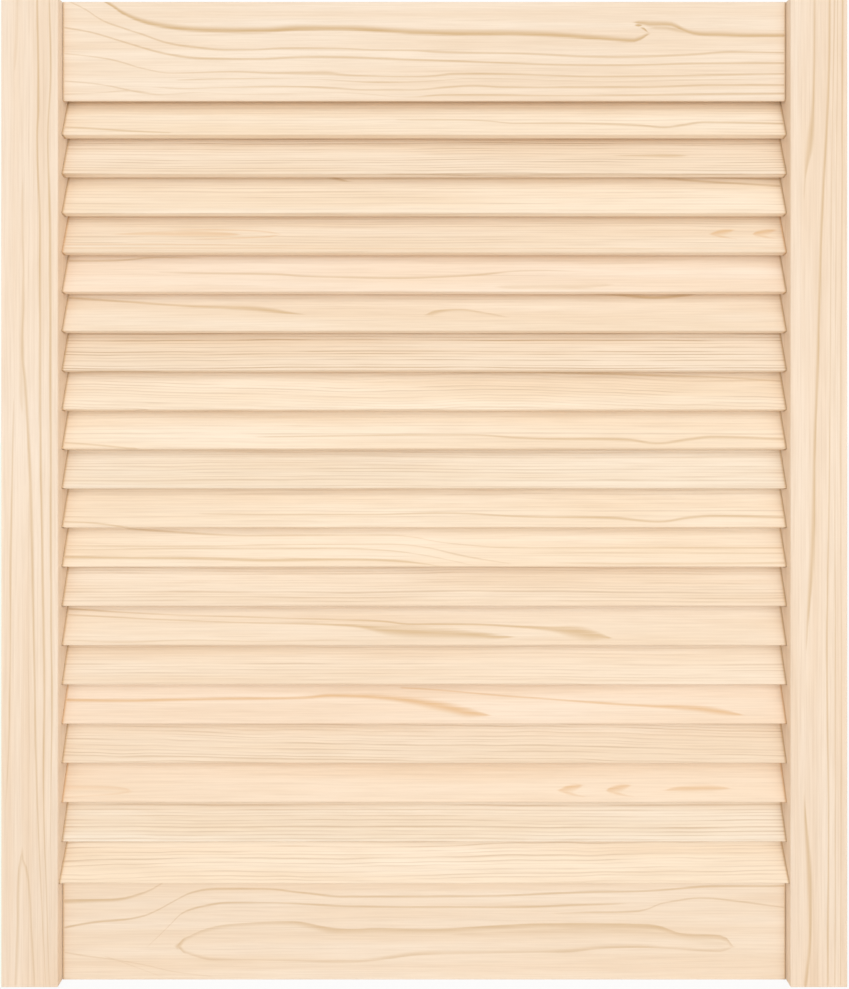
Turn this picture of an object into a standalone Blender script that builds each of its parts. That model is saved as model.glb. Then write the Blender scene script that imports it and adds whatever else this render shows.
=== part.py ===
"""Louvred pine cabinet door: two stiles, two rails, fixed slats in slanted slots, and corner dowels.

Metres, +Z up. The door stands on its stile ends at z = 0. Its width runs along X, centred on x = 0,
and its front faces -Y, with mid-thickness at y = 0. A depth is measured back from the stiles' front face.
"""

import math

import bmesh
import bpy
from mathutils import Matrix, Vector

# Frame members
DOOR_WIDTH = 0.594
DOOR_HEIGHT = 0.695
STILE_WIDTH = 0.040
STILE_THICKNESS = 0.021
RAIL_HEIGHT = 0.0705
RAIL_RECESS = 0.006
RAIL_LIP = 0.0015
RAIL_BEVEL = math.radians(45)
ARRIS = 0.0007

# Slats and their housings
SLAT_WIDTH = 0.033
SLAT_THICKNESS = 0.005
SLAT_ROUNDING = 0.0008
SLAT_TILT = math.radians(17.3)
SLAT_AIR_GAP = 0.00326
SLAT_BACK_MARGIN = 0.0015
LAST_SLAT_LAP = 0.0005
SLOT_DEPTH = 0.008

# Corner dowels
DOWEL_DIAMETER = 0.008
DOWEL_LENGTH = 0.040
DOWEL_CHAMFER = 0.001
DOWEL_EDGE_DISTANCE = 0.012
DOWEL_SPACING = 0.025
DOWEL_FLUTES = 12
FLUTE_DEPTH = 0.0003

# Fits: the gap round every housed or butted end, and how far a cutter runs past the face that it opens
FIT_GAP = 0.0003
CUTTER_OVERRUN = 0.002

# Facets
ARRIS_SEGMENTS = 2
ROUNDING_SEGMENTS = 5
HOLE_SIDES = 24
SMOOTH_BELOW = math.radians(40)

# The opening inside the frame, and the members that follow from it
opening_width = DOOR_WIDTH - 2 * STILE_WIDTH
opening_bottom = RAIL_HEIGHT
opening_top = DOOR_HEIGHT - RAIL_HEIGHT
opening_height = opening_top - opening_bottom
front_y = -STILE_THICKNESS / 2
rail_length = opening_width - 2 * FIT_GAP
rail_thickness = STILE_THICKNESS - RAIL_RECESS
rail_y = front_y + RAIL_RECESS + rail_thickness / 2
rail_bevel_height = (rail_thickness - RAIL_LIP) * math.tan(RAIL_BEVEL)
rail_arris = min(ARRIS, RAIL_LIP / 3)

# Slats: the air gap sets how many of them fill the opening
slat_length = opening_width + 2 * (SLOT_DEPTH - FIT_GAP)
slat_rounding = min(SLAT_ROUNDING, SLAT_THICKNESS / 2 - FIT_GAP)
slat_count = round(opening_height * math.sin(SLAT_TILT) / (SLAT_THICKNESS + SLAT_AIR_GAP))
slat_back_depth = STILE_THICKNESS - SLAT_BACK_MARGIN
last_slat_tilt = math.asin((slat_back_depth - RAIL_RECESS + FIT_GAP) / SLAT_WIDTH)


def slat_axes(tilt):
    """Unit vectors in (depth, height): up along a slat's face, and out of its back."""
    up = Vector((math.sin(tilt), math.cos(tilt)))
    back = Vector((math.cos(tilt), -math.sin(tilt)))
    return up, back


def first_slat_centre():
    """Its upper back corner keeps the back margin, and its upper front rounding sits under the bevel."""
    up, back = slat_axes(SLAT_TILT)
    to_back_corner = up * SLAT_WIDTH / 2 + back * SLAT_THICKNESS / 2
    to_rounding = up * (SLAT_WIDTH / 2 - slat_rounding) - back * (SLAT_THICKNESS / 2 - slat_rounding)
    into_rail = Vector((-math.sin(RAIL_BEVEL), math.cos(RAIL_BEVEL)))
    lip_edge = Vector((RAIL_RECESS + RAIL_LIP, opening_top))
    depth = slat_back_depth - to_back_corner.x
    reach = lip_edge.dot(into_rail) - FIT_GAP - slat_rounding
    rounding_height = (reach - (depth + to_rounding.x) * into_rail.x) / into_rail.y
    return Vector((depth, rounding_height - to_rounding.y))


def last_slat_centre():
    """Its lower back corner laps the bottom rail's top edge, just in front of the rail's face."""
    up, back = slat_axes(last_slat_tilt)
    lower_back_corner = Vector((RAIL_RECESS - FIT_GAP, opening_bottom - LAST_SLAT_LAP))
    return lower_back_corner + up * SLAT_WIDTH / 2 - back * SLAT_THICKNESS / 2


def slat_places():
    """(y, z, tilt) of each slat, from the top down, evenly spaced between the first and the last."""
    first = first_slat_centre()
    last = last_slat_centre()
    pitch = (first.y - last.y) / (slat_count - 1)
    places = []
    for index in range(slat_count - 1):
        places.append((front_y + first.x, first.y - index * pitch, SLAT_TILT))
    places.append((front_y + last.x, last.y, last_slat_tilt))
    return places


def dowel_heights(full_from, full_to):
    """Heights of a joint's dowels, spread over the part of the rail that has its full thickness."""
    lowest = full_from + DOWEL_EDGE_DISTANCE
    room = full_to - DOWEL_EDGE_DISTANCE - lowest
    gaps = max(0, math.floor(room / DOWEL_SPACING))
    if gaps == 0:
        return [lowest + room / 2]
    return [lowest + room * index / gaps for index in range(gaps + 1)]


def dowel_places():
    """(name, location) of each dowel: it crosses a joint line, half in the stile and half in the rail."""
    levels = {
        "top": dowel_heights(opening_top + rail_bevel_height, DOOR_HEIGHT),
        "bottom": dowel_heights(0.0, RAIL_HEIGHT),
    }
    places = []
    for level, heights in levels.items():
        for side_name, side in (("left", -1), ("right", 1)):
            for number, height in enumerate(heights, start=1):
                location = (side * opening_width / 2, rail_y, height)
                places.append((f"dowel_{level}_{side_name}_{number}", location))
    return places


def clear_scene():
    for old in list(bpy.data.objects):
        bpy.data.objects.remove(old, do_unlink=True)


def wood(name, colour, roughness):
    material = bpy.data.materials.new(name)
    material.use_nodes = True
    material.diffuse_color = (*colour, 1.0)
    shader = material.node_tree.nodes["Principled BSDF"]
    shader.inputs["Base Color"].default_value = (*colour, 1.0)
    shader.inputs["Roughness"].default_value = roughness
    shader.inputs["Metallic"].default_value = 0.0
    return material


def finished(name, shape, material=None):
    mesh = bpy.data.meshes.new(name)
    bmesh.ops.recalc_face_normals(shape, faces=shape.faces)
    shape.to_mesh(mesh)
    shape.free()
    mesh.shade_smooth()
    mesh.set_sharp_from_angle(angle=SMOOTH_BELOW)
    if material:
        mesh.materials.append(material)
    return mesh


def is_along_x(edge):
    run = edge.verts[1].co - edge.verts[0].co
    return abs(run.x) > max(abs(run.y), abs(run.z))


def box(size):
    shape = bmesh.new()
    bmesh.ops.create_cube(shape, size=1.0, matrix=Matrix.Diagonal((*size, 1.0)))
    return shape


def round_edges(shape, edges, radius, segments):
    bmesh.ops.bevel(
        shape,
        geom=edges,
        offset=radius,
        affect="EDGES",
        segments=segments,
        profile=0.5,
        material=-1,
    )


def stile_mesh(material):
    """An upright with all its arrises eased."""
    shape = box((STILE_WIDTH, STILE_THICKNESS, DOOR_HEIGHT))
    round_edges(shape, shape.edges[:], ARRIS, ARRIS_SEGMENTS)
    return finished("stile", shape, material)


def rail_mesh(name, bevelled, material):
    """A cross member with its long arrises eased. A bevelled one thins to a lip along its lower edge."""
    shape = box((rail_length, rail_thickness, RAIL_HEIGHT))
    if bevelled:
        cut_away = bmesh.ops.bisect_plane(
            shape,
            geom=shape.verts[:] + shape.edges[:] + shape.faces[:],
            plane_co=(0.0, RAIL_LIP - rail_thickness / 2, -RAIL_HEIGHT / 2),
            plane_no=(0.0, math.sin(RAIL_BEVEL), -math.cos(RAIL_BEVEL)),
            clear_outer=True,
        )
        rim = [part for part in cut_away["geom_cut"] if isinstance(part, bmesh.types.BMEdge)]
        bmesh.ops.contextual_create(shape, geom=rim)
    long_edges = [edge for edge in shape.edges if is_along_x(edge)]
    round_edges(shape, long_edges, rail_arris, ARRIS_SEGMENTS)
    return finished(name, shape, material)


def slat_mesh(name, length, grown, material=None):
    """A slat lying along X with its four long edges rounded, or the same section grown for its slot."""
    shape = box((length, SLAT_THICKNESS + 2 * grown, SLAT_WIDTH + 2 * grown))
    long_edges = [edge for edge in shape.edges if is_along_x(edge)]
    round_edges(shape, long_edges, slat_rounding + grown, ROUNDING_SEGMENTS)
    return finished(name, shape, material)


def rod(diameter, length, sides):
    """A round rod lying along X."""
    shape = bmesh.new()
    bmesh.ops.create_cone(
        shape,
        cap_ends=True,
        segments=sides,
        radius1=diameter / 2,
        radius2=diameter / 2,
        depth=length,
        matrix=Matrix.Rotation(math.pi / 2, 4, "Y"),
    )
    return shape


def dowel_mesh(material):
    """A pin with chamfered ends and shallow flutes: every other line of points is drawn in."""
    sides = 2 * DOWEL_FLUTES
    shape = rod(DOWEL_DIAMETER, DOWEL_LENGTH, sides)
    rims = [edge for edge in shape.edges if not is_along_x(edge)]
    round_edges(shape, rims, DOWEL_CHAMFER, 1)
    for vert in shape.verts:
        radius = vert.co.yz.length
        line = round(math.atan2(vert.co.z, vert.co.y) / math.tau * sides)
        if line % 2 and radius > DOWEL_DIAMETER / 2 - FLUTE_DEPTH:
            vert.co.yz *= 1 - FLUTE_DEPTH / radius
    return finished("dowel", shape, material)


def add_piece(name, mesh, location, tilt=0.0):
    piece = bpy.data.objects.new(name, mesh)
    piece.location = location
    piece.rotation_euler = (-tilt, 0.0, 0.0)
    piece.parent = door
    bpy.context.scene.collection.objects.link(piece)
    return piece


def add_cutter(collection, mesh, location, tilt=0.0):
    cutter = bpy.data.objects.new(mesh.name, mesh)
    cutter.location = location
    cutter.rotation_euler = (-tilt, 0.0, 0.0)
    cutter.parent = door
    cutter.hide_render = True
    cutter.display_type = "WIRE"
    collection.objects.link(cutter)


def new_cutters(name):
    collection = bpy.data.collections.new(name)
    bpy.context.scene.collection.children.link(collection)
    return collection


def cut(piece, cutters):
    boolean = piece.modifiers.new(cutters.name, "BOOLEAN")
    boolean.operation = "DIFFERENCE"
    boolean.solver = "EXACT"
    boolean.operand_type = "COLLECTION"
    boolean.collection = cutters


clear_scene()
door = bpy.data.objects.new("door", None)
bpy.context.scene.collection.objects.link(door)

stile_pine = wood("stile_pine", (0.90, 0.71, 0.53), 0.62)
rail_pine = wood("rail_pine", (0.91, 0.72, 0.54), 0.62)
slat_pine = wood("slat_pine", (0.93, 0.74, 0.55), 0.60)
dowel_beech = wood("dowel_beech", (0.72, 0.52, 0.36), 0.65)

# Dowels, and the holes that they fit in the stiles and rails
dowel = dowel_mesh(dowel_beech)
hole_shape = rod(DOWEL_DIAMETER + 2 * FIT_GAP, DOWEL_LENGTH + 2 * FIT_GAP, HOLE_SIDES)
dowel_hole = finished("dowel_hole", hole_shape)
dowel_holes = new_cutters("dowel_holes")
for dowel_name, dowel_location in dowel_places():
    add_piece(dowel_name, dowel, dowel_location)
    add_cutter(dowel_holes, dowel_hole, dowel_location)

# Slats, and the slots that house their ends in the stiles
slat = slat_mesh("slat", slat_length, 0.0, slat_pine)
slot = slat_mesh("slot", SLOT_DEPTH + CUTTER_OVERRUN, FIT_GAP)
slot_x = (opening_width + SLOT_DEPTH - CUTTER_OVERRUN) / 2
slots = new_cutters("slots")
for slat_number, (slat_y, slat_z, slat_lean) in enumerate(slat_places(), start=1):
    add_piece(f"slat_{slat_number:02d}", slat, (0.0, slat_y, slat_z), slat_lean)
    for slot_side in (-1, 1):
        add_cutter(slots, slot, (slot_side * slot_x, slat_y, slat_z), slat_lean)

# Stiles
stile = stile_mesh(stile_pine)
stile_x = (DOOR_WIDTH - STILE_WIDTH) / 2
for stile_name, stile_side in (("stile_left", -1), ("stile_right", 1)):
    upright = add_piece(stile_name, stile, (stile_side * stile_x, 0.0, DOOR_HEIGHT / 2))
    cut(upright, slots)
    cut(upright, dowel_holes)

# Rails
top_mesh = rail_mesh("rail_top", True, rail_pine)
bottom_mesh = rail_mesh("rail_bottom", False, rail_pine)
rail_top = add_piece("rail_top", top_mesh, (0.0, rail_y, DOOR_HEIGHT - RAIL_HEIGHT / 2))
rail_bottom = add_piece("rail_bottom", bottom_mesh, (0.0, rail_y, RAIL_HEIGHT / 2))
cut(rail_top, dowel_holes)
cut(rail_bottom, dowel_holes)
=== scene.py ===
import math

import bmesh
import bpy
from mathutils import Matrix, Vector


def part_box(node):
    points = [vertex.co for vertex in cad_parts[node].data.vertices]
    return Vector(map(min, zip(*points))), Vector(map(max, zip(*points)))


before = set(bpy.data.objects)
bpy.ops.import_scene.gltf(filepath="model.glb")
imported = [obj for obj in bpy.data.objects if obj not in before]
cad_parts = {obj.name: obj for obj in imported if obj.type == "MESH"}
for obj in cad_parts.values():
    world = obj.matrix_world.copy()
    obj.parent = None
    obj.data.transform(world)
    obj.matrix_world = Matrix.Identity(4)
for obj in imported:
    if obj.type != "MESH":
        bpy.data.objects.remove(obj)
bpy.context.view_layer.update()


# Stiles: the two uprights, planed from clear pine with the grain running up them.
# Twenty slanted slots are routed in each inner edge, and both ends are sawn square.
def add_node(tree, kind, inputs=None, **settings):
    """A shader node with its settings, and each named input set to a value or linked to a socket."""
    node = tree.nodes.new(kind)
    for name, value in settings.items():
        setattr(node, name, value)
    for name, value in (inputs or {}).items():
        if isinstance(value, bpy.types.NodeSocket):
            tree.links.new(value, node.inputs[name])
        else:
            node.inputs[name].default_value = value
    return node


def calc(tree, operation, *values):
    """The result of one Math node."""
    inputs = dict(enumerate(values))
    return add_node(tree, "ShaderNodeMath", inputs, operation=operation).outputs[0]


def fade(tree, value, start, end):
    """A smooth step from 0 at start to 1 at end."""
    inputs = {"Value": value, "From Min": start, "From Max": end}
    step = add_node(
        tree, "ShaderNodeMapRange", inputs, interpolation_type="SMOOTHSTEP"
    )
    return step.outputs[0]


def new_group(name, numbers, vectors=(), colours=(), results=(), colour_results=()):
    """An empty shader group with its sockets: the numbers come with their usual values."""
    tree = bpy.data.node_groups.new(name, "ShaderNodeTree")
    sides = (
        ("INPUT", "NodeSocketVector", vectors),
        ("INPUT", "NodeSocketFloat", numbers),
        ("INPUT", "NodeSocketColor", colours),
        ("OUTPUT", "NodeSocketColor", colour_results),
        ("OUTPUT", "NodeSocketFloat", results),
    )
    for side, kind, names in sides:
        for socket_name in names:
            socket = tree.interface.new_socket(
                socket_name, in_out=side, socket_type=kind
            )
            if names is numbers:
                socket.default_value = numbers[socket_name]
    given = tree.nodes.new("NodeGroupInput").outputs
    result = tree.nodes.new("NodeGroupOutput").inputs
    return tree, given, result


def board_noise(tree, given, per_metre, detail):
    """Noise in the board's own directions, so that it can be drawn out along the grain."""
    place = add_node(
        tree,
        "ShaderNodeVectorMath",
        {0: given["Board"], 1: per_metre, 2: given["Seed"]},
        operation="MULTIPLY_ADD",
    ).outputs[0]
    inputs = {"Vector": place, "Scale": 1.0, "Detail": detail}
    return add_node(tree, "ShaderNodeTexNoise", inputs).outputs


def centred(tree, value):
    """Noise, which lies about a half, moved to lie about zero."""
    return calc(tree, "SUBTRACT", value, 0.5)


def pine_fibre_group():
    """Fibres of planed pine: thin streaks along the board, gathered into faint bands."""
    tree, given, result = new_group(
        "pine_fibre", {"Seed": 0.0}, vectors=["Board"], results=["Streak", "Height"]
    )
    fibres_per_metre = (26.0, 850.0, 850.0)
    bands_per_metre = (4.0, 160.0, 160.0)
    band_share = 0.4
    fibre = board_noise(tree, given, fibres_per_metre, detail=3.0)["Fac"]
    band = board_noise(tree, given, bands_per_metre, detail=1.0)["Fac"]
    streak = calc(
        tree, "MULTIPLY_ADD", centred(tree, band), band_share, centred(tree, fibre)
    )
    tree.links.new(streak, result["Streak"])
    tree.links.new(fibre, result["Height"])
    return tree


def growth_line_group():
    """One year's late wood where the face cuts it: crisp on one side, fading away on the other.

    The fade is a number of line widths, and its sign says to which side. A line that thins out
    grows pale as well, and the fibres make its edge and its shade ragged.
    """
    full_shade_width = 0.0013
    ragged_edge = 0.6
    ragged_shade = 0.7
    tree, given, result = new_group(
        "growth_line",
        {
            "Across": 0.0,
            "Path": 0.0,
            "Width": 0.001,
            "Streak": 0.0,
            "Shade": 0.6,
            "Fade": 1.0,
        },
        results=["Shade"],
    )
    aside = calc(tree, "SUBTRACT", given["Across"], given["Path"])
    aside = calc(tree, "MULTIPLY", aside, calc(tree, "SIGN", given["Fade"]))
    aside = calc(tree, "DIVIDE", aside, given["Width"])
    aside = calc(tree, "MULTIPLY_ADD", given["Streak"], ragged_edge, aside)
    crisp = fade(tree, aside, start=-1.0, end=0.0)
    soft = fade(tree, aside, start=calc(tree, "ABSOLUTE", given["Fade"]), end=0.0)
    weight = fade(tree, given["Width"], start=0.0, end=full_shade_width)
    weight = calc(tree, "MULTIPLY", weight, given["Shade"])
    broken = calc(tree, "MULTIPLY_ADD", given["Streak"], ragged_shade, 1.0)
    weight = calc(tree, "MULTIPLY", weight, broken)
    shade = calc(tree, "MULTIPLY", calc(tree, "MULTIPLY", crisp, soft), weight)
    tree.links.new(shade, result["Shade"])
    return tree


WARMTH = (0.95, 0.90, 0.84, 1.0)
PALENESS = (1.0, 1.012, 1.03, 1.0)
UMBER = (0.60, 0.405, 0.235, 1.0)


def pine_grain_group():
    """Planed pine: fine growth rings about a heart line off the board, bold lines, fibres, and a painted
    joint shadow.

    The board's own position runs along the grain, across the face, and into the wood from the face.
    """
    waves_per_metre = (7.0, 18.0, 18.0)
    change_per_ring = 0.45
    faintest_year = 0.3
    darkest_part = 0.3
    stretches_per_metre = (14.0, 260.0, 260.0)
    faintest_stretch = 0.45
    stretch_gain = 0.9
    patches_per_metre = (3.0, 90.0, 90.0)
    least_shade = 0.07
    painted_shadow_reach = 0.0018
    painted_shadow_core = 0.0004
    painted_shadow_depth = 0.7
    planed_roughness = 0.58
    streak_roughness = 0.2
    line_roughness = -0.1
    tree, given, result = new_group(
        "pine_grain",
        {
            "Seed": 0.0,
            "Streak": 0.0,
            "Marks": 0.0,
            "Heart Across": 0.09,
            "Heart Depth": 0.02,
            "Drift": 0.0,
            "Ring Width": 0.0024,
            "Late Width": 0.0012,
            "Wander": 0.004,
            "Line": 0.2,
            "Fibre": 0.5,
            "Shoulder": 1.0,
        },
        vectors=["Board"],
        colours=["Early Wood", "Late Wood"],
        results=["Roughness"],
        colour_results=["Color"],
    )
    along, across, deep = add_node(
        tree, "ShaderNodeSeparateXYZ", {0: given["Board"]}
    ).outputs
    waves = board_noise(tree, given, waves_per_metre, detail=3.0)["Color"]
    wave_across, wave_deep, hue = add_node(
        tree, "ShaderNodeSeparateColor", {0: waves}
    ).outputs
    aside = calc(tree, "SUBTRACT", across, given["Heart Across"])
    drifted = calc(tree, "MULTIPLY", given["Drift"], along)
    aside = calc(tree, "SUBTRACT", aside, drifted)
    aside = calc(
        tree, "MULTIPLY_ADD", centred(tree, wave_across), given["Wander"], aside
    )
    depth = calc(tree, "ADD", given["Heart Depth"], deep)
    depth = calc(
        tree, "MULTIPLY_ADD", centred(tree, wave_deep), given["Wander"], depth
    )
    depth_squared = calc(tree, "MULTIPLY", depth, depth)
    radius = calc(
        tree, "SQRT", calc(tree, "MULTIPLY_ADD", aside, aside, depth_squared)
    )

    # Rings of uneven width and strength, each ending in a thin dark line.
    ring = calc(tree, "DIVIDE", radius, given["Ring Width"])
    uneven = add_node(
        tree,
        "ShaderNodeTexNoise",
        {
            "W": calc(tree, "MULTIPLY_ADD", ring, change_per_ring, given["Seed"]),
            "Scale": 1.0,
            "Detail": 1.0,
        },
        noise_dimensions="1D",
    ).outputs["Fac"]
    ring = calc(tree, "ADD", centred(tree, uneven), ring)
    growth = calc(tree, "FRACT", ring)
    year = calc(tree, "FLOOR", ring)
    strength = add_node(
        tree,
        "ShaderNodeTexWhiteNoise",
        {"W": calc(tree, "ADD", year, given["Seed"])},
        noise_dimensions="1D",
    ).outputs["Value"]
    strength = calc(
        tree, "MULTIPLY_ADD", strength, 1.0 - faintest_year, faintest_year
    )
    to_line = calc(tree, "SUBTRACT", 1.0, growth)
    to_line = calc(tree, "MULTIPLY", to_line, given["Ring Width"])
    to_line = calc(tree, "DIVIDE", to_line, given["Late Width"])
    late = calc(
        tree,
        "MULTIPLY",
        fade(tree, to_line, start=1.0, end=darkest_part),
        fade(tree, to_line, start=0.0, end=darkest_part),
    )
    late = calc(tree, "MULTIPLY", late, strength)
    late = calc(tree, "MULTIPLY", late, given["Line"])
    stretch = board_noise(tree, given, stretches_per_metre, detail=1.0)["Fac"]
    stretch = fade(tree, stretch, start=0.35, end=0.6)
    stretch = calc(tree, "MULTIPLY_ADD", stretch, stretch_gain, faintest_stretch)
    late = calc(tree, "MULTIPLY", late, stretch)

    # Broad, faint patches of warmer and of paler wood, drawn out along the grain.
    patch = board_noise(tree, given, patches_per_metre, detail=2.0)["Fac"]
    warm_share = fade(tree, patch, start=0.25, end=0.75)
    pale_share = fade(tree, hue, start=0.4, end=0.65)
    early = given["Early Wood"]
    for share, tint in ((warm_share, WARMTH), (pale_share, PALENESS)):
        early = add_node(
            tree,
            "ShaderNodeMix",
            {0: share, 6: early, 7: tint},
            data_type="RGBA",
            blend_type="MULTIPLY",
        ).outputs[2]

    # Fine rings and fibres in a dull brown.
    fine = calc(tree, "MULTIPLY_ADD", given["Streak"], given["Fibre"], late)
    fine = calc(tree, "ADD", fine, least_shade)
    colour = add_node(
        tree, "ShaderNodeMix", {0: fine, 6: early, 7: UMBER}, data_type="RGBA"
    ).outputs[2]

    # Bold lines over them, and a painted shadow: a dark line where a shoulder meets a stile, painted in for
    # the shade that falls into the joint.
    to_shoulder = calc(
        tree, "SUBTRACT", given["Shoulder"], calc(tree, "ABSOLUTE", along)
    )
    painted_joint_shadow = fade(tree, to_shoulder, start=painted_shadow_reach, end=painted_shadow_core)
    painted_joint_shadow = calc(tree, "MULTIPLY", painted_joint_shadow, painted_shadow_depth)
    # Bold holds both the bold growth lines and this painted joint shadow.
    bold = calc(tree, "MAXIMUM", given["Marks"], painted_joint_shadow)
    colour = add_node(
        tree,
        "ShaderNodeMix",
        {0: bold, 6: colour, 7: given["Late Wood"]},
        data_type="RGBA",
    ).outputs[2]
    tree.links.new(colour, result["Color"])
    rough = calc(
        tree, "MULTIPLY_ADD", given["Streak"], streak_roughness, planed_roughness
    )
    rough = calc(tree, "MULTIPLY_ADD", bold, line_roughness, rough)
    tree.links.new(rough, result["Roughness"])
    return tree


pine_fibre = pine_fibre_group()
growth_line = growth_line_group()
pine_grain = pine_grain_group()
CREAM = (0.95, 0.79, 0.615, 1.0)
TAN = (0.64, 0.42, 0.20, 1.0)
RING_LEAN = 0.4
RUN_OUT = 0.003
MM = 0.001
FIBRE_RELIEF = 0.0001
PLANED_RELIEF = 0.22
BARE_WOOD_SHEEN = 0.3


def along_curve(tree, along, points):
    """A value given at a few places along the board, and smooth between them."""
    node = tree.nodes.new("ShaderNodeFloatCurve")
    node.mapping.use_clip = False
    node.mapping.extend = "HORIZONTAL"
    curve = node.mapping.curves[0].points
    curve[0].location = points[0]
    curve[1].location = points[-1]
    for point in points[1:-1]:
        curve.new(*point)
    for point in curve:
        point.handle_type = "AUTO_CLAMPED"
    node.mapping.update()
    tree.links.new(along, node.inputs["Value"])
    return node.outputs["Value"]


def draw_lines(tree, board, streak, lines):
    """The darkest of a board's bold growth lines at each point.

    A line is its shade, its fade, and the places it runs through: along, across and width in mm.
    It runs out just past the first and the last of them.
    """
    along, across, deep = add_node(tree, "ShaderNodeSeparateXYZ", {0: board}).outputs
    across = calc(tree, "MULTIPLY_ADD", deep, RING_LEAN, across)
    marks = 0.0
    for shade, soft, places in lines:
        places = sorted(places)
        path = [(where * MM, aside * MM) for where, aside, _ in places]
        width = [(where * MM, wide * MM) for where, _, wide in places]
        width.insert(0, (path[0][0] - RUN_OUT, 0.0))
        width.append((path[-1][0] + RUN_OUT, 0.0))
        line = add_node(
            tree,
            "ShaderNodeGroup",
            {
                "Across": across,
                "Path": along_curve(tree, along, path),
                "Width": along_curve(tree, along, width),
                "Streak": streak,
                "Shade": shade,
                "Fade": soft,
            },
            node_tree=growth_line,
        )
        marks = calc(tree, "MAXIMUM", line.outputs[0], marks)
    return marks


def pine_board(name, centre, turn, early=CREAM, late=TAN, lines=(), **sawing):
    """A pine material whose grain follows one board, turned and centred on that board."""
    material = bpy.data.materials.new(name)
    material.use_nodes = True
    tree = material.node_tree
    tree.nodes.clear()
    board = add_node(
        tree,
        "ShaderNodeMapping",
        {
            "Vector": add_node(tree, "ShaderNodeTexCoord").outputs["Object"],
            "Location": -(turn @ Vector(centre)),
            "Rotation": turn.to_euler(),
        },
    ).outputs[0]
    fibres = add_node(
        tree,
        "ShaderNodeGroup",
        {"Board": board, "Seed": sawing["seed"]},
        node_tree=pine_fibre,
    ).outputs
    inputs = {socket.replace("_", " ").title(): sawing[socket] for socket in sawing}
    inputs.update(
        {
            "Board": board,
            "Streak": fibres["Streak"],
            "Early Wood": early,
            "Late Wood": late,
        }
    )
    if lines:
        inputs["Marks"] = draw_lines(tree, board, fibres["Streak"], lines)
    grain = add_node(tree, "ShaderNodeGroup", inputs, node_tree=pine_grain).outputs
    bump = add_node(
        tree,
        "ShaderNodeBump",
        {
            "Height": fibres["Height"],
            "Strength": PLANED_RELIEF,
            "Distance": FIBRE_RELIEF,
        },
    )
    surface = add_node(
        tree,
        "ShaderNodeBsdfPrincipled",
        {
            "Base Color": grain["Color"],
            "Roughness": grain["Roughness"],
            "Normal": bump.outputs[0],
            "Specular IOR Level": BARE_WOOD_SHEEN,
        },
    )
    add_node(tree, "ShaderNodeOutputMaterial", {"Surface": surface.outputs[0]})
    return material


def dress(node, material):
    """Puts one material on a CAD node."""
    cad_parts[node].data.materials.clear()
    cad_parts[node].data.materials.append(material)


def face_centre(node):
    """The middle of a CAD node's front, where its board position is zero."""
    low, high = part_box(node)
    return Vector(((low[0] + high[0]) / 2, low[1], (low[2] + high[2]) / 2))


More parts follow.
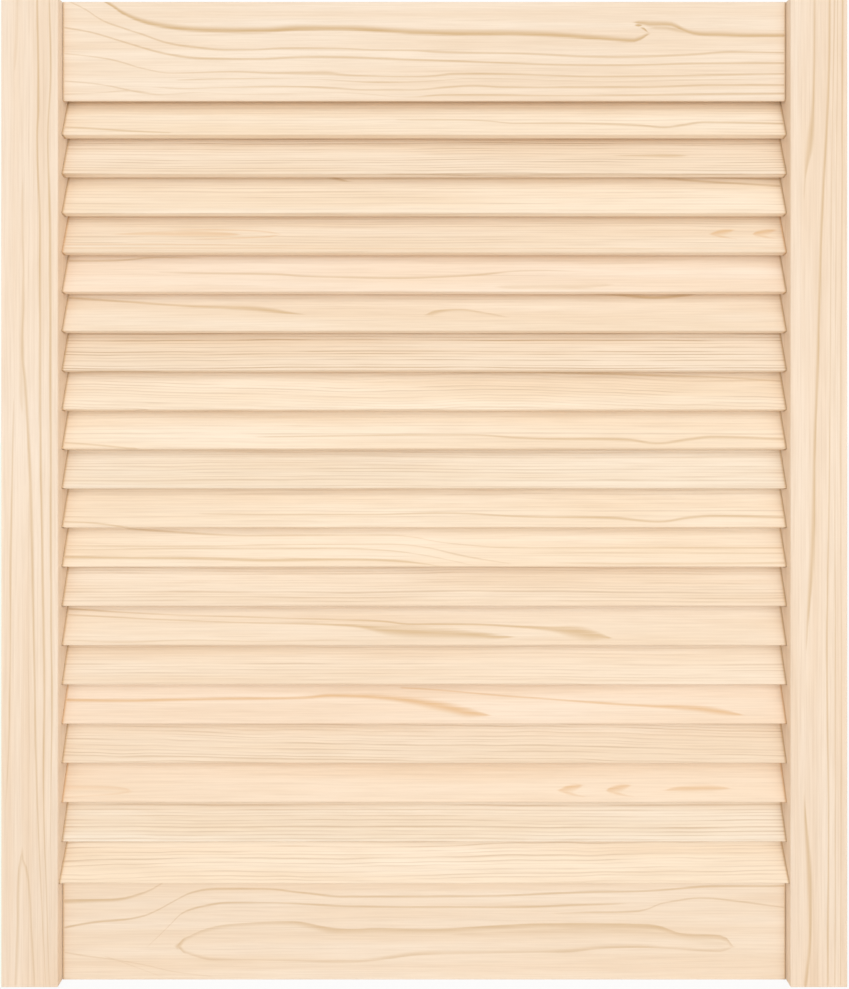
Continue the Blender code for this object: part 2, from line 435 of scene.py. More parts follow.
UPRIGHT_GRAIN = Matrix(((0, 0, 1), (1, 0, 0), (0, 1, 0)))
STILE_SAWING = {
    "stile_left": dict(
        seed=1.3,
        heart_across=0.12,
        ring_width=0.0034,
        line=0.15,
        lines=(
            (0.6, 1.0, (
                (347, 14, 0.8), (297, 15, 1.2), (248, 13, 1.0), (192, 14.5, 1.6), (40, 15, 1.4),
                (-113, 15.5, 1.2), (-140, 16, 1.1), (-230, 15, 0.7), (-300, 15.5, 0.5),
            )),
            (0.6, 1.0, (
                (347, 5.5, 1.1), (270, 6.5, 1.4), (250, 5.5, 1.2), (180, 7.5, 1.4), (80, 7.5, 1.7),
                (-40, 9, 1.5), (-146, 10.5, 1.3), (-210, 10, 1.0), (-280, 12, 0.8), (-347, 14, 0.6),
            )),
            (0.6, 1.2, (
                (175, -4, 0.4), (135, -4, 0.9), (110, -5, 1.4), (94, -5, 1.8), (80, -3.5, 1.8), (40, -1, 1.6),
                (9, 0.5, 1.7), (-100, 3, 1.4), (-215, 5.5, 0.9), (-295, 9, 0.7), (-347, 11.5, 0.6),
            )),
            (0.3, 1.0, ((155, -4.5, 0.5), (120, -5, 1.6), (90, -5.5, 2.8), (70, -5.5, 2.4), (55, -5, 0.6))),
            (0.3, 1.0, ((225, -4.5, 0.3), (195, -5, 1.4), (150, -4, 1.0), (130, -4, 0.4))),
            (0.55, 1.0, (
                (65, -11, 0.6), (10, -12, 1.0), (-42, -13, 1.3), (-120, -13.5, 1.0), (-180, -14.5, 0.8),
                (-220, -16.5, 0.4),
            )),
            (0.5, -2.0, (
                (-251, -5, 0.8), (-257, -4.5, 1.0), (-264, -2, 0.9), (-284, 0.5, 0.8), (-306, 1.5, 0.8),
                (-347, 4, 0.6),
            )),
            (0.5, 2.5, (
                (-251, -5, 0.8), (-262, -7, 1.0), (-275, -8, 1.0), (-300, -8.5, 1.0), (-347, -10, 0.9),
            )),
            (0.25, 1.0, ((347, -8.5, 1.8), (320, -9, 1.8), (295, -10.5, 0.6))),
        ),
    ),
    "stile_right": dict(
        seed=2.7,
        heart_across=0.12,
        ring_width=0.0028,
        line=0.15,
        lines=(
            (0.6, -1.4, (
                (347, 7.5, 1.1), (295, 7, 1.2), (190, 2, 1.4), (70, -1.5, 1.5), (32, -3, 1.5), (0, -3.5, 1.7),
                (-30, -4, 2.2), (-60, -5.5, 2.3), (-78, -7, 1.6), (-92, -8, 1.1), (-112, -9, 0.4),
            )),
            (0.55, -1.6, (
                (347, -3, 1.0), (290, -3.5, 1.1), (262, -4.5, 1.8), (250, -5.5, 2.6), (240, -6.5, 2.8),
                (232, -8, 2.0), (222, -9.5, 0.9), (205, -10.5, 0.4),
            )),
            (0.6, 1.0, (
                (347, 11, 0.8), (236, 9, 0.7), (120, 8, 0.7), (0, 7, 0.9), (-115, 5.5, 1.1), (-226, 6.5, 1.1),
                (-347, 6, 1.2),
            )),
            (0.6, 1.0, (
                (347, 13, 0.8), (200, 12, 0.6), (0, 11, 0.7), (-125, 11.5, 0.8), (-250, 11.5, 0.7),
                (-347, 11, 0.8),
            )),
            (0.6, 1.0, ((347, 16.5, 1.1), (200, 16, 0.8), (27, 15, 0.8), (-150, 15.5, 0.8), (-347, 15, 0.8))),
            (0.6, -1.6, (
                (-210, -10.5, 0.3), (-222, -10, 0.9), (-240, -8.5, 1.6), (-258, -7, 2.0), (-275, -6.5, 1.8),
                (-300, -6, 1.4), (-320, -6.5, 1.3), (-335, -8, 1.5), (-347, -9.5, 1.6),
            )),
        ),
    ),
}
STILE_CREAM = (0.935, 0.772, 0.61, 1.0)
for name, sawing in STILE_SAWING.items():
    sawing["early"] = STILE_CREAM
    dress(name, pine_board(name, face_centre(name), UPRIGHT_GRAIN, **sawing))


# Dowels: fluted beech pins glued half into each stile and half into a rail.
# Beech is close and pinkish, with short dark flecks along the grain.
BEECH_PALE = (0.76, 0.55, 0.38, 1.0)
BEECH_PINK = (0.66, 0.45, 0.29, 1.0)
BEECH_FLECK = (0.42, 0.24, 0.14, 1.0)


def beech_dowel():
    """The beech of all the dowels, with its grain along them."""
    flecks_per_metre = (150.0, 1800.0, 1800.0)
    smoothest = 0.5
    grain_roughness = 0.2
    beech_relief = 0.3
    material = bpy.data.materials.new("beech_dowel")
    material.use_nodes = True
    tree = material.node_tree
    tree.nodes.clear()
    place = add_node(tree, "ShaderNodeTexCoord").outputs["Object"]
    stretched = add_node(
        tree, "ShaderNodeMapping", {"Vector": place, "Scale": flecks_per_metre}
    ).outputs[0]
    grain = add_node(
        tree, "ShaderNodeTexNoise", {"Vector": stretched, "Scale": 1.0, "Detail": 2.0}
    ).outputs["Fac"]
    fleck = fade(tree, grain, start=0.56, end=0.68)
    tone = add_node(
        tree,
        "ShaderNodeMix",
        {0: grain, 6: BEECH_PALE, 7: BEECH_PINK},
        data_type="RGBA",
    ).outputs[2]
    colour = add_node(
        tree, "ShaderNodeMix", {0: fleck, 6: tone, 7: BEECH_FLECK}, data_type="RGBA"
    ).outputs[2]
    bump = add_node(
        tree,
        "ShaderNodeBump",
        {"Height": grain, "Strength": beech_relief, "Distance": FIBRE_RELIEF},
    )
    surface = add_node(
        tree,
        "ShaderNodeBsdfPrincipled",
        {
            "Base Color": colour,
            "Roughness": calc(tree, "MULTIPLY_ADD", grain, grain_roughness, smoothest),
            "Normal": bump.outputs[0],
            "Specular IOR Level": BARE_WOOD_SHEEN,
        },
    )
    add_node(tree, "ShaderNodeOutputMaterial", {"Surface": surface.outputs[0]})
    return material


dowel_beech = beech_dowel()
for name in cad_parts:
    if name.startswith("dowel"):
        dress(name, dowel_beech)


# Rails: the cross members, wider pine boards set back from the stiles' faces.
# They are butted against the stiles and held by two dowels at each end.
LEVEL_GRAIN = Matrix.Rotation(math.radians(90), 3, "X")
# Where the rails and slats meet the stiles; a painted shadow line is drawn on them there.
SHOULDER = 0.257
RAIL_SAWING = {
    # A bold line swings round a pin knot, and the finer lines below it follow.
    "rail_top": dict(
        seed=3.1,
        heart_across=-0.12,
        ring_width=0.004,
        line=0.1,
        lines=(
            (0.8, -1.8, (
                (-230, -37, 1.2), (-222, -32.5, 1.4), (-215, -27.5, 1.6), (-200, -21, 1.9),
                (-184, -17.5, 2.1), (-160, -15, 2.2), (-115, -14.5, 2.4), (-88, -16, 2.4), (-60, -16, 2.2),
                (-3, -13, 2.3), (88, -11.5, 2.2), (125, -9, 2.0), (149, -7.5, 1.8), (154, -9, 1.6),
                (158, -11, 1.2), (160, -13, 0.4),
            )),
            (0.8, -1.6, (
                (148, -20.5, 0.4), (154, -20, 1.8), (161, -19, 2.4), (168, -19, 2.3), (177, -18.5, 2.1),
                (182, -16, 1.9), (188, -13.5, 1.8), (197, -12, 2.0), (210, -11.5, 2.2), (230, -11, 1.9),
                (257, -11, 1.6),
            )),
            (0.5, 1.6, ((158, -16.5, 0.3), (170, -17, 1.8), (180, -15, 1.6), (192, -12.5, 0.4))),
            (1.0, 1.0, ((150.5, -18.5, 0.3), (152.5, -18.5, 1.8), (154.5, -18.5, 0.3))),
            (0.9, 1.0, ((154.5, -17.5, 0.4), (156.5, -15.5, 1.6), (159, -12.5, 0.5))),
            (0.55, 1.0, (
                (-254, -36, 0.9), (-242, -30.5, 0.9), (-228, -21.5, 1.0), (-214, -16.5, 1.1),
                (-199, -11.5, 1.1), (-183, -6, 1.2), (-160, -2.5, 1.4), (-140, -1, 1.2), (-122, -1, 1.0),
                (-103, -2, 1.2), (-62, -2, 1.2), (-40, -1, 1.0), (-7, -0.5, 1.0), (10, 0.5, 1.5),
                (64, 1.5, 1.2), (134, 4, 1.6), (187, 2.5, 1.4), (219, 0.5, 1.3), (257, 1, 1.1),
            )),
            (0.6, 1.0, (
                (-257, -17, 1.1), (-237, -13.5, 1.0), (-210, -5.5, 1.1), (-187, 1, 1.3), (-161, 5, 1.8),
                (-119, 5.5, 1.2), (-82, 4, 1.8), (20, 7, 1.3), (128, 10, 1.2), (214, 8.5, 1.3),
                (257, 8.5, 1.3),
            )),
            (0.55, 1.0, (
                (-257, 1.5, 0.9), (-242, 3, 0.8), (-220, 6.5, 1.0), (-199, 12.5, 0.8), (-179, 15.5, 0.8),
                (-136, 14.5, 1.1), (-105, 15.5, 1.3), (-72, 15.5, 2.4), (-55, 17, 1.6), (-40, 17.5, 1.2),
                (-8, 18, 1.0), (8, 17.5, 1.2), (22, 16, 1.7), (66, 16.5, 1.2), (123, 18, 1.2), (200, 17, 1.3),
                (257, 16, 1.3),
            )),
            (0.55, 1.0, (
                (-176, 20.5, 0.6), (-140, 19.5, 1.0), (-110, 19.5, 0.7), (-74, 20, 0.6), (-50, 21.5, 0.8),
                (-33, 22, 1.1), (0, 21.5, 0.7), (34, 19.5, 0.6), (132, 21.5, 0.5), (190, 20.5, 0.6),
                (257, 19.5, 0.5),
            )),
            (0.55, 1.0, (
                (-195, 25.5, 0.3), (-168, 26.5, 0.9), (-150, 26, 0.8), (-98, 25, 1.3), (-60, 26.5, 1.1),
                (-42, 27.5, 0.9), (-10, 27.5, 0.9), (17, 25.5, 1.2), (35, 24.5, 1.2), (58, 25.5, 1.2),
                (145, 25.5, 1.3), (214, 24, 1.3), (257, 24, 1.2),
            )),
            (0.55, 1.0, (
                (-257, 30.5, 0.8), (-230, 29.5, 0.6), (-210, 28, 0.8), (-185, 30.5, 0.6), (-160, 29.5, 0.6),
                (-130, 30.5, 0.6), (-60, 29.5, 0.6), (-10, 32.5, 0.7), (16, 31, 1.3), (112, 31.5, 1.0),
                (202, 30.5, 1.6), (257, 30, 1.4),
            )),
            (0.55, 1.0, ((-257, 21, 0.8), (-231, 23.5, 0.8), (-203, 29, 1.0), (-185, 31.5, 0.4))),
        ),
    ),
    # Flat-sawn close to the heart, so its lines close into long loops.
    "rail_bottom": dict(
        seed=4.2,
        heart_across=-0.12,
        ring_width=0.004,
        line=0.08,
        lines=(
            (0.6, 4.0, (
                (-175.5, 11, 1.4), (-175, 9.5, 1.8), (-174, 8, 1.5), (-168, 5, 0.7), (-161, 1.5, 0.7),
                (-148, -2.5, 0.8), (-125, -5, 0.8), (-94, -6, 1.0), (-80, -4, 1.1), (-68, -1.5, 1.2),
                (-50, -0.5, 1.0), (-36, -1, 1.0), (0, -0.5, 1.0), (60, -3.5, 1.1), (86, -4.5, 1.2),
                (120, -4.5, 1.5), (150, -4, 1.3), (165, -3, 1.2), (173, -0.5, 1.1), (182, 2.5, 1.0),
                (212, 4.5, 1.1), (217, 7.5, 1.0), (219.5, 11.5, 0.5),
            )),
            (0.5, -3.0, (
                (-175.5, 11, 1.4), (-175, 12.5, 1.8), (-174, 14, 1.4), (-168, 16.5, 0.8), (-159, 19.5, 0.9),
                (-150, 21, 0.8), (-131, 21, 0.6), (-100, 21.5, 0.7), (-52, 22.5, 0.8), (-37, 21.5, 0.9),
                (-22, 19.5, 1.1), (-7, 17.5, 1.2), (20, 16.5, 0.9), (81, 15.5, 0.8), (104, 15, 1.1),
                (124, 13, 1.0), (152, 12, 1.0), (175, 13, 0.7), (210, 15, 0.8), (219.5, 12, 0.5),
            )),
            (0.2, 1.0, (
                (20, 3, 0.5), (80, 1, 4.0), (130, 0, 6.0), (165, 2, 5.0), (205, 8, 4.0), (218, 10, 0.5),
            )),
            (0.55, 1.0, (
                (-197, 12, 0.3), (-194, 9, 0.7), (-190, 5.5, 0.7), (-184, -0.5, 0.7), (-179, -5.5, 0.8),
                (-173, -11.5, 0.9), (-165, -15, 1.2), (-157, -17, 1.3), (-138, -19.5, 1.2),
                (-111, -19.5, 1.0), (-55, -17, 1.3), (14, -16.5, 1.0), (66, -16.5, 1.3), (111, -18, 1.3),
                (145, -19, 0.4),
            )),
            (0.5, 1.0, (
                (90, -12, 0.4), (111, -12.5, 1.0), (152, -13.5, 1.2), (160, -15.5, 0.9), (167, -18.5, 0.9),
                (180, -21, 1.0), (196, -23, 1.1), (223, -20.5, 1.1), (257, -16, 0.8),
            )),
            (0.6, 1.0, (
                (-257, -1.5, 1.1), (-239, -5, 1.3), (-200, -10, 1.1), (-190, -14, 0.9), (-178, -20.5, 0.9),
                (-166, -26.5, 1.1), (-143, -29.5, 1.5), (-116, -29.5, 1.2), (-85, -26.5, 1.2),
                (-58, -24, 1.4), (50, -24.5, 1.3), (112, -27, 1.4), (160, -28, 1.1), (200, -31, 1.3),
                (257, -31.5, 1.3),
            )),
            (0.65, 2.0, (
                (-257, -21, 1.6), (-235, -21.5, 1.3), (-215, -22.5, 1.2), (-205, -25, 1.0),
                (-195, -28.5, 0.8), (-188, -32.5, 0.7), (-182, -36, 0.6),
            )),
            (0.4, 1.0, (
                (-257, 15.5, 0.8), (-242, 18, 1.0), (-220, 21, 0.8), (-197, 25, 0.8), (-180, 29, 0.7),
                (-150, 33, 0.5),
            )),
            (0.4, 1.0, ((-227, 18.5, 0.7), (-215, 22.5, 0.7), (-200, 28, 0.6), (-187, 33, 0.5))),
        ),
    ),
}
RAIL_CREAM = (0.955, 0.80, 0.635, 1.0)
for name, sawing in RAIL_SAWING.items():
    sawing.update(shoulder=SHOULDER, early=RAIL_CREAM)
    dress(name, pine_board(name, face_centre(name), LEVEL_GRAIN, **sawing))


# Slats: thin pine strips with eased edges, leaning so that each sheds onto the next.
# Their ends sit in the stiles' slots, and the last one leans further to lap the bottom rail.
SLAT_TILT = math.radians(17.3)
LAST_SLAT = 20
LAST_SLAT_TILT = math.radians(24.7)
SLAT_THICKNESS = 0.005
IVORY = (0.98, 0.82, 0.635, 1.0)
MILK = (0.985, 0.84, 0.665, 1.0)
STRAW = (0.95, 0.815, 0.65, 1.0)
BLUSH = (0.97, 0.795, 0.625, 1.0)
PEACH = (0.955, 0.77, 0.585, 1.0)
FAWN = (0.94, 0.78, 0.605, 1.0)
RUST = (0.75, 0.45, 0.20, 1.0)


def eye(along, across):
    """A ring that the face just grazes: a filled tip with two short arms, open to its right."""
    above = ((0, 0, 0.5), (4, -1.2, 2.2), (9, -2.4, 2.2), (17, -3.4, 0.6))
    below = ((0, 0, 0.5), (5, 1.4, 1.6), (12, 3, 0.8), (18, 4, 0.5))
    arms = []
    for shade, soft, arm in ((0.6, 2.0, above), (0.45, -1.5, below)):
        places = [(along + where, across + aside, wide) for where, aside, wide in arm]
        arms.append((shade, soft, places))
    return arms


SLAT_SAWING = {
    1: dict(
        seed=5.1,
        line=0.22,
        early=IVORY,
        lines=(
            (0.55, 1.0, (
                (-20, 4, 0.7), (20, 4, 1.0), (45, 5, 1.1), (65, 7, 1.1), (100, 7, 1.5), (140, 8, 1.8),
                (155, 9, 1.6), (170, 10.5, 1.4), (185, 8.5, 1.7), (200, 6, 1.8), (225, 6.5, 1.7),
                (257, 7.5, 1.6),
            )),
            (0.55, 1.0, ((-257, 10, 1.4), (-235, 11.5, 1.4), (-210, 13.5, 1.2), (-180, 15, 0.9))),
        ),
    ),
    2: dict(
        seed=6.2,
        ring_width=0.0022,
        line=0.72,
        early=CREAM,
        lines=((0.6, 1.0, ((135, 1.5, 0.4), (155, 1.5, 1.1), (175, 1.5, 1.8), (190, 1.5, 0.4))),),
    ),
    3: dict(
        seed=7.4,
        line=0.32,
        early=IVORY,
        lines=(
            (0.6, -1.0, ((-75, -16, 3.0), (-65, -12.5, 3.0), (-58, -10, 1.2), (-52, -9, 0.4))),
            (0.6, -1.0, (
                (120, -16, 1.1), (147, -14, 2.0), (170, -12.5, 2.2), (193, -10, 1.7), (228, -7.5, 1.4),
                (257, -5.5, 1.4),
            )),
            (0.55, 1.0, ((165, -15, 0.4), (192, -13.5, 1.3), (257, -11, 1.1))),
        ),
    ),
    # This face grazes a few rings, which show as a lens on the left and two small eyes on the right.
    4: dict(
        seed=8.3,
        line=0.36,
        early=CREAM,
        late=RUST,
        lines=(
            (0.5, 1.0, (
                (-225, 2, 0.3), (-190, 1.5, 2.4), (-165, 1.5, 3.7), (-145, 2, 3.0), (-130, 2.5, 0.4),
            )),
            (0.45, 1.0, (
                (-185, -2.5, 0.4), (-150, -1.5, 1.0), (-125, -1, 1.1), (-110, 0.5, 1.1), (-103, 2, 0.5),
            )),
            (0.45, 1.0, (
                (-165, 6, 0.4), (-144, 5.5, 1.0), (-120, 4.5, 1.1), (-108, 3.5, 1.1), (-103, 2, 0.5),
            )),
            *eye(205, 2),
            *eye(235, 2),
            (0.5, 1.0, ((-257, 10, 1.0), (-200, 10, 1.0), (-150, 10.5, 0.8), (-60, 11.5, 0.4))),
            (0.5, 1.0, ((-257, 13, 0.9), (-150, 13, 0.8), (0, 13.5, 0.6), (257, 13, 0.7))),
        ),
    ),
    5: dict(
        seed=9.6,
        line=0.1,
        early=BLUSH,
        lines=(
            (0.55, -1.6, (
                (-190, 1.5, 0.5), (-140, 2.5, 1.0), (-106, 3, 1.1), (-86, 4.5, 1.0), (-50, 5.5, 1.1),
                (-16, 6, 1.1), (15, 5, 1.1), (43, 3, 1.1), (60, 1, 0.8), (80, 0, 0.7), (115, 1, 0.3),
            )),
            (0.5, 1.0, ((-257, -7.5, 1.3), (-220, -8, 1.3), (-191, -10.5, 1.2), (-162, -10, 0.6))),
            (0.3, -2.0, ((50, 13, 0.5), (80, 13.5, 2.1), (110, 13, 2.5), (135, 11, 0.5))),
        ),
    ),
    6: dict(
        seed=10.2,
        line=0.12,
        early=CREAM,
        lines=(
            (0.6, -1.2, (
                (-257, -9, 1.4), (-215, -6, 1.3), (-172, -2.7, 1.4), (-140, -1.5, 2.1), (-122, -0.7, 2.7),
                (-108, 1, 2.5), (-96, 2.7, 1.3), (-84, 4, 0.4),
            )),
            (0.65, -1.4, (
                (105, -13.5, 1.3), (136, -12, 2.1), (150, -10.5, 2.3), (166, -9, 2.0), (182, -10.5, 2.1),
                (200, -13.5, 1.3),
            )),
            (0.55, 2.0, (
                (1, 4.5, 0.4), (4, 3, 1.8), (9, 1.5, 1.6), (15, 0.5, 1.2), (25, 0, 1.0), (40, 2, 0.9),
                (60, 6, 0.5),
            )),
        ),
    ),
    7: dict(seed=11.9, ring_width=0.0026, line=0.85, early=FAWN),
    8: dict(
        seed=12.5,
        drift=0.02,
        ring_width=0.0022,
        wander=0.01,
        line=0.36,
        early=IVORY,
        lines=(
            (0.55, -1.4, (
                (10, -12, 0.8), (45, -11.5, 1.5), (95, -11, 1.5), (135, -10, 1.3), (160, -9, 1.2),
                (208, -7.5, 0.9), (257, -4.5, 0.7),
            )),
        ),
    ),
    9: dict(
        seed=13.1,
        ring_width=0.003,
        line=0.24,
        early=IVORY,
        lines=(
            (0.55, 1.0, (
                (-120, 8, 0.5), (-90, 7.5, 1.0), (30, 6.5, 1.0), (75, 9, 1.3), (145, 10, 1.7),
                (165, 12.5, 1.4), (190, 9.5, 1.7), (205, 8, 1.7), (257, 9.5, 1.6),
            )),
            (0.5, 1.0, ((-257, 12, 1.1), (-235, 13.5, 1.1), (-205, 16.5, 1.4))),
        ),
    ),
    10: dict(seed=14.7, ring_width=0.002, line=0.3, early=STRAW),
    11: dict(
        seed=15.3,
        ring_width=0.003,
        line=0.24,
        early=IVORY,
        lines=(
            (0.55, 1.0, (
                (-160, 7, 0.5), (-125, 7.5, 0.9), (-45, 7.5, 1.0), (15, 6.5, 1.1), (70, 9, 1.1),
                (135, 10, 1.7), (167, 12.5, 1.3), (190, 9.5, 1.6), (205, 8.5, 1.7), (257, 9.5, 1.5),
            )),
            (0.5, 1.0, ((-257, 12.5, 1.0), (-235, 13.5, 1.0), (-212, 16.5, 1.2))),
        ),
    ),
    12: dict(
        seed=16.8,
        line=0.12,
        early=IVORY,
        lines=(
            (0.5, 1.0, (
                (-257, 2, 0.8), (-180, 2.5, 0.9), (-70, 1, 0.8), (-25, 1, 0.8), (0, 3, 0.8), (25, 8.5, 1.0),
                (45, 12, 0.8), (62, 14.5, 0.5),
            )),
            (0.5, 1.0, (
                (-257, 5, 0.7), (-165, 4, 1.0), (-65, 4, 1.0), (-40, 4.5, 1.1), (-15, 6.5, 0.8),
                (18, 12, 0.7), (36, 16, 0.4),
            )),
            (0.6, 1.0, (
                (-257, 10, 1.7), (-155, 11, 1.7), (-110, 12, 1.9), (-60, 11.5, 1.6), (-30, 12, 1.6),
                (0, 14.5, 0.8), (12, 16.5, 0.5),
            )),
            (0.5, 1.0, (
                (-215, -10, 1.0), (-195, -8.5, 1.4), (-120, -5, 1.0), (-35, -5.5, 0.8), (-8, -4, 0.7),
                (8, -1, 0.7), (30, 1.5, 0.8), (65, 3.5, 0.9), (257, 3.5, 1.0),
            )),
            (0.4, 1.0, ((60, 7.5, 0.4), (120, 7, 0.9), (257, 7.5, 0.9))),
            (0.4, 1.0, ((90, 14, 0.4), (150, 14.5, 1.1), (257, 14, 1.2))),
        ),
    ),
    13: dict(seed=17.2, ring_width=0.002, line=0.38, early=CREAM),
    # A ring grazed twice: a filled lens in the middle and a brush end to its right.
    14: dict(
        seed=18.4,
        line=0.1,
        early=CREAM,
        lines=(
            (0.66, 1.0, (
                (-257, -8, 1.1), (-195, -4.5, 0.8), (-130, -2.5, 0.8), (-60, -0.5, 0.9), (-30, 0.5, 1.1),
                (-10, 2.5, 1.1), (25, 2.5, 1.1), (75, 4.5, 1.6), (90, 5.5, 2.8), (110, 8, 6.0),
                (118, 9.5, 5.4), (126, 10.5, 2.8), (134, 12, 0.4),
            )),
            (0.66, 1.0, (
                (-257, -4, 0.9), (-195, -1, 0.9), (-125, 1.5, 0.8), (-60, 3, 1.3), (-45, 4, 2.0),
                (-31, 6, 4.2), (-20, 7, 5.2), (0, 8, 5.6), (25, 9, 4.6), (40, 10, 3.4), (54, 11, 2.0),
                (65, 11, 0.4),
            )),
            (0.4, 1.0, (
                (-254, 13, 0.7), (-216, 14.5, 0.8), (-165, 13, 0.9), (-116, 14, 0.8), (-60, 13, 0.5),
            )),
        ),
    ),
    15: dict(seed=19.6, ring_width=0.0021, line=0.36, early=CREAM),
    16: dict(
        seed=20.1,
        line=0.08,
        early=BLUSH,
        late=RUST,
        lines=(
            (0.7, 1.0, (
                (-257, 1, 2.0), (-217, 1.5, 1.8), (-160, 0.5, 1.6), (-85, -0.5, 1.6), (-67, -1.7, 1.8),
                (-30, -0.5, 2.4), (-3, 2.5, 3.9), (19, 6.5, 4.9), (27, 8.5, 4.9), (40, 10.3, 2.3),
                (47, 11, 0.5),
            )),
            (0.65, 1.0, (
                (-17, -7, 0.9), (12, -5.3, 0.9), (55, -1.7, 0.9), (83, 0, 1.0), (126, 3, 1.2), (162, 5, 1.6),
                (190, 6.3, 3.0), (204, 7.8, 3.4), (213, 9, 3.0), (220, 10, 1.9), (228, 11, 0.4),
            )),
        ),
    ),
    17: dict(seed=21.7, drift=0.012, ring_width=0.002, wander=0.008, line=0.4, early=FAWN),
    18: dict(
        seed=22.3,
        line=0.08,
        early=PEACH,
        late=RUST,
        lines=(
            (0.35, 4.0, (
                (-257, 6.5, 0.9), (-230, 6.7, 0.8), (-218, 7.2, 0.8), (-211, 8.4, 0.9), (-208, 9.4, 0.4),
            )),
            (0.4, -2.0, (
                (-257, 13.5, 0.6), (-237, 12.5, 0.6), (-222, 11.5, 0.7), (-212, 10.3, 0.9),
                (-208, 9.4, 0.4),
            )),
            *eye(96, 9),
            *eye(130, 9),
            (0.6, 1.0, (
                (170, 9, 0.4), (179, 8, 1.9), (190, 7.5, 2.9), (201, 7.2, 2.9), (210, 7.4, 2.0),
                (219, 7.7, 0.4),
            )),
        ),
    ),
    19: dict(seed=23.8, ring_width=0.0023, line=0.5, early=STRAW),
    20: dict(seed=24.5, drift=-0.01, ring_width=0.0024, wander=0.008, line=0.48, early=MILK),
}
for number, sawing in SLAT_SAWING.items():
    name = f"slat_{number:02}"
    tilt = LAST_SLAT_TILT if number == LAST_SLAT else SLAT_TILT
    low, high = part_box(name)
    middle = (Vector(low) + Vector(high)) / 2
    out_of_face = Vector((0.0, -math.cos(tilt), math.sin(tilt)))
    centre = middle + out_of_face * SLAT_THICKNESS / 2
    turn = Matrix.Rotation(math.radians(90) + tilt, 3, "X")
    dress(name, pine_board(name, centre, turn, shoulder=SHOULDER, **sawing))


# Floor: a wide sheet of pale matt paper that the door stands on.
# It glows white to the camera, and a little of the door's shadow still shows on it.
FLOOR_REACH = 4.0
PAPER = (0.8, 0.8, 0.8, 1.0)
PAPER_GLOW = 0.9
WHITE = (1.0, 1.0, 1.0, 1.0)
floor_mesh = bpy.data.meshes.new("floor")
outline = bmesh.new()
bmesh.ops.create_grid(outline, x_segments=1, y_segments=1, size=FLOOR_REACH)
outline.to_mesh(floor_mesh)
outline.free()
floor = bpy.data.objects.new("floor", floor_mesh)
bpy.context.scene.collection.objects.link(floor)
floor_paper = bpy.data.materials.new("floor_paper")
floor_paper.use_nodes = True
tree = floor_paper.node_tree
tree.nodes.clear()


def seen_white(tree):
    """1 for a ray that shows the background: from the camera, off gloss or through glass."""
    rays = add_node(tree, "ShaderNodeLightPath").outputs
    mirrored = calc(
        tree, "MAXIMUM", rays["Is Glossy Ray"], rays["Is Transmission Ray"]
    )
    return calc(tree, "MAXIMUM", rays["Is Camera Ray"], mirrored)


matt = add_node(tree, "ShaderNodeBsdfDiffuse", {"Color": PAPER})
glow = add_node(tree, "ShaderNodeEmission", {"Color": WHITE, "Strength": 1.0})
glow_share = calc(tree, "MULTIPLY", seen_white(tree), PAPER_GLOW)
mixed = add_node(
    tree,
    "ShaderNodeMixShader",
    {0: glow_share, 1: matt.outputs[0], 2: glow.outputs[0]},
)
add_node(tree, "ShaderNodeOutputMaterial", {"Surface": mixed.outputs[0]})
floor_mesh.materials.append(floor_paper)


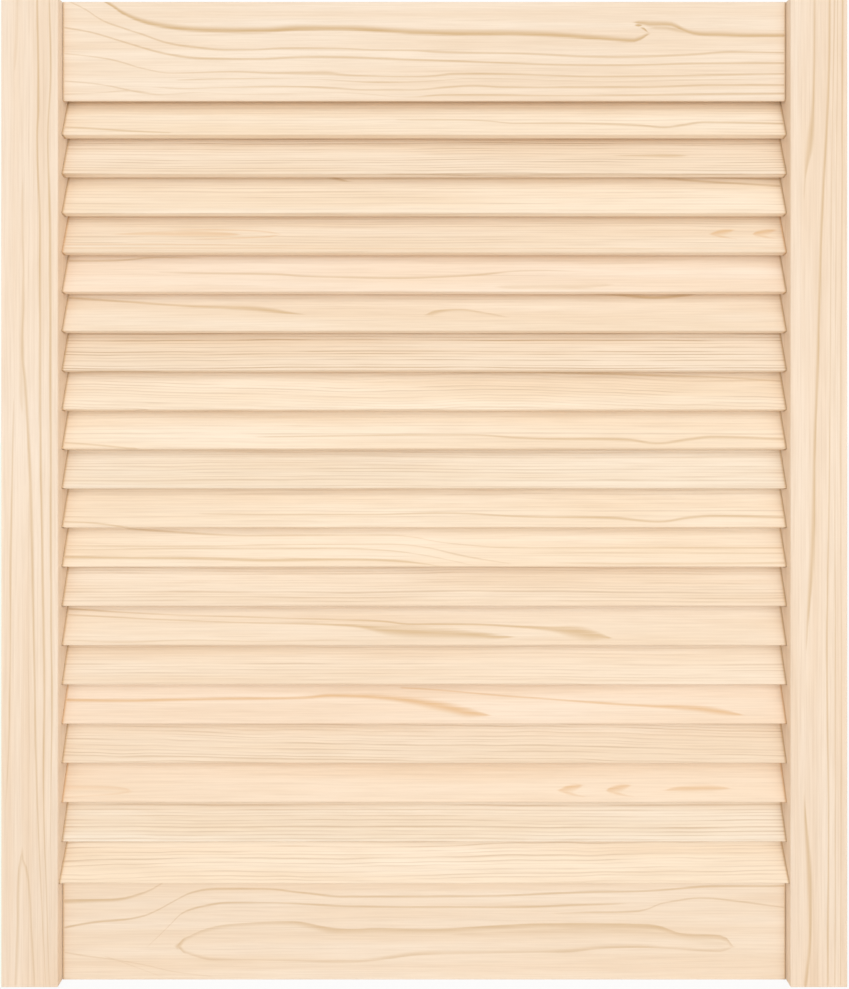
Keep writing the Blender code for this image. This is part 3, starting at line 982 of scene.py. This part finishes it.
# Light: an even white room, a high soft key from the front right, and a wide lamp in front.
# The front lamp reaches in between the slats and along the inner sides of the stiles.
ROOM_STRENGTH = 0.715
KEY_STRENGTH = 0.44
KEY_SPREAD = math.radians(24)
KEY_HEIGHT = math.radians(42)
KEY_TURN = math.radians(14)
FRONT_LAMP_WIDTH = 4.0
FRONT_LAMP_HEIGHT = 0.8
FRONT_LAMP_WATTS = 9.0
FRONT_LAMP_PLACE = (0.1, -1.4, 0.5)
FRONT_LAMP_TARGET = (0.0, 0.0, 0.35)
world = bpy.data.worlds.new("studio")
bpy.context.scene.world = world
world.use_nodes = True
tree = world.node_tree
tree.nodes.clear()
room = add_node(
    tree, "ShaderNodeBackground", {"Color": WHITE, "Strength": ROOM_STRENGTH}
)
backdrop = add_node(tree, "ShaderNodeBackground", {"Color": WHITE, "Strength": 1.0})
mixed = add_node(
    tree,
    "ShaderNodeMixShader",
    {0: seen_white(tree), 1: room.outputs[0], 2: backdrop.outputs[0]},
)
add_node(tree, "ShaderNodeOutputWorld", {"Surface": mixed.outputs[0]})

key_data = bpy.data.lights.new("key", "SUN")
key_data.energy = KEY_STRENGTH
key_data.angle = KEY_SPREAD
key = bpy.data.objects.new("key", key_data)
bpy.context.scene.collection.objects.link(key)
key_level = math.cos(KEY_HEIGHT)
key_toward = Vector(
    (
        -key_level * math.sin(KEY_TURN),
        key_level * math.cos(KEY_TURN),
        -math.sin(KEY_HEIGHT),
    )
)
key.rotation_euler = key_toward.to_track_quat("-Z", "Y").to_euler()

front_data = bpy.data.lights.new("front_lamp", "AREA")
front_data.shape = "RECTANGLE"
front_data.size = FRONT_LAMP_WIDTH
front_data.size_y = FRONT_LAMP_HEIGHT
front_data.energy = FRONT_LAMP_WATTS
front_lamp = bpy.data.objects.new("front_lamp", front_data)
bpy.context.scene.collection.objects.link(front_lamp)
front_lamp.location = FRONT_LAMP_PLACE
front_aim = Vector(FRONT_LAMP_TARGET) - front_lamp.location
front_lamp.rotation_euler = front_aim.to_track_quat("-Z", "Y").to_euler()


# Camera: close to the door, square on to it and a little above its middle.
# Its view is shifted down, which keeps the stiles upright and leaves their upper ends just out of frame.
SENSOR_WIDTH_MM = 36.0
LENS_MM = 24.132
VIEW_SHIFT = -0.1161
CAMERA_PLACE = (0.0002, -0.4755, 0.4264)
camera_data = bpy.data.cameras.new("camera")
camera_data.sensor_width = SENSOR_WIDTH_MM
camera_data.lens = LENS_MM
camera_data.shift_y = VIEW_SHIFT
camera = bpy.data.objects.new("camera", camera_data)
bpy.context.scene.collection.objects.link(camera)
camera.location = CAMERA_PLACE
camera.rotation_euler = (math.radians(90), 0.0, 0.0)
bpy.context.scene.camera = camera
bpy.context.scene.view_settings.view_transform = "Standard"
